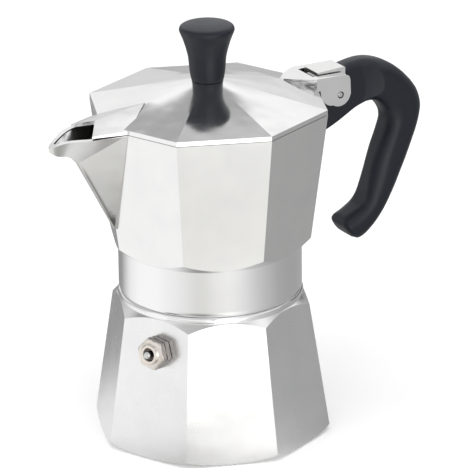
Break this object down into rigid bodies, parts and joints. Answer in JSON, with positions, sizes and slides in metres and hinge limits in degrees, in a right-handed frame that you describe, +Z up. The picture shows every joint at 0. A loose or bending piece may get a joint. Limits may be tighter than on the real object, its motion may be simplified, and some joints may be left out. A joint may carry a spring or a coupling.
{
  "type": "stove-top coffee pot",
  "caption": "Eight-sided stove-top moka pot with a screw-on collector, a hinged lid with a knob, a pouring spout, a side handle and a safety valve.",
  "frame": {"origin": "centre of the boiler's flat foot", "axes": "+Z up, +X towards the handle, -X towards the spout"},
  "size_m": [0.1596, 0.0918, 0.16],
  "materials": {
    "cast_aluminium": "polished",
    "spun_aluminium": "satin",
    "nickel_brass": "plated, satin",
    "steel": "satin",
    "silicone": "matte",
    "black_plastic": "satin moulded"
  },
  "bodies": {
    "boiler": {"boiler": "cast_aluminium", "valve_body": "nickel_brass", "valve_spring": "steel", "valve_retainer": "nickel_brass", "funnel": "spun_aluminium", "funnel_screen": "spun_aluminium"},
    "valve_piston": {"valve_piston": "steel", "valve_seal": "silicone"},
    "seal": {"gasket": "silicone", "filter_plate": "steel"},
    "collector": {"collector": "cast_aluminium", "handle": "black_plastic", "hinge_pin": "steel"},
    "lid": {"lid": "cast_aluminium", "knob": "black_plastic", "knob_insert": "nickel_brass", "knob_screw": "steel", "knob_washer": "steel"}
  },
  "joints": [
    {"name": "valve_slide", "type": "slide", "parent": "boiler", "child": "valve_piston", "axis": [-0.9024, -0.4074, 0.1403], "range_m": [0, 0.0015], "stiffness_N_per_m": 900},
    {"name": "collector_lift", "type": "slide", "parent": "boiler", "child": "seal", "axis": [0, 0, 1], "range_m": [0, 0.01]},
    {"name": "collector_turn", "type": "hinge", "parent": "seal", "child": "collector", "pos_m": [0, 0, 0], "axis": [0, 0, 1], "range_deg": [0, 900]},
    {"name": "lid_hinge", "type": "hinge", "parent": "collector", "child": "lid", "pos_m": [0.0528, 0, 0.1245], "axis": [0, 1, 0], "range_deg": [0, 90]}
  ],
  "couplings": [
    {"joint": "collector_lift", "follows": "collector_turn", "m_per_rad": 0.00063662}
  ]
}
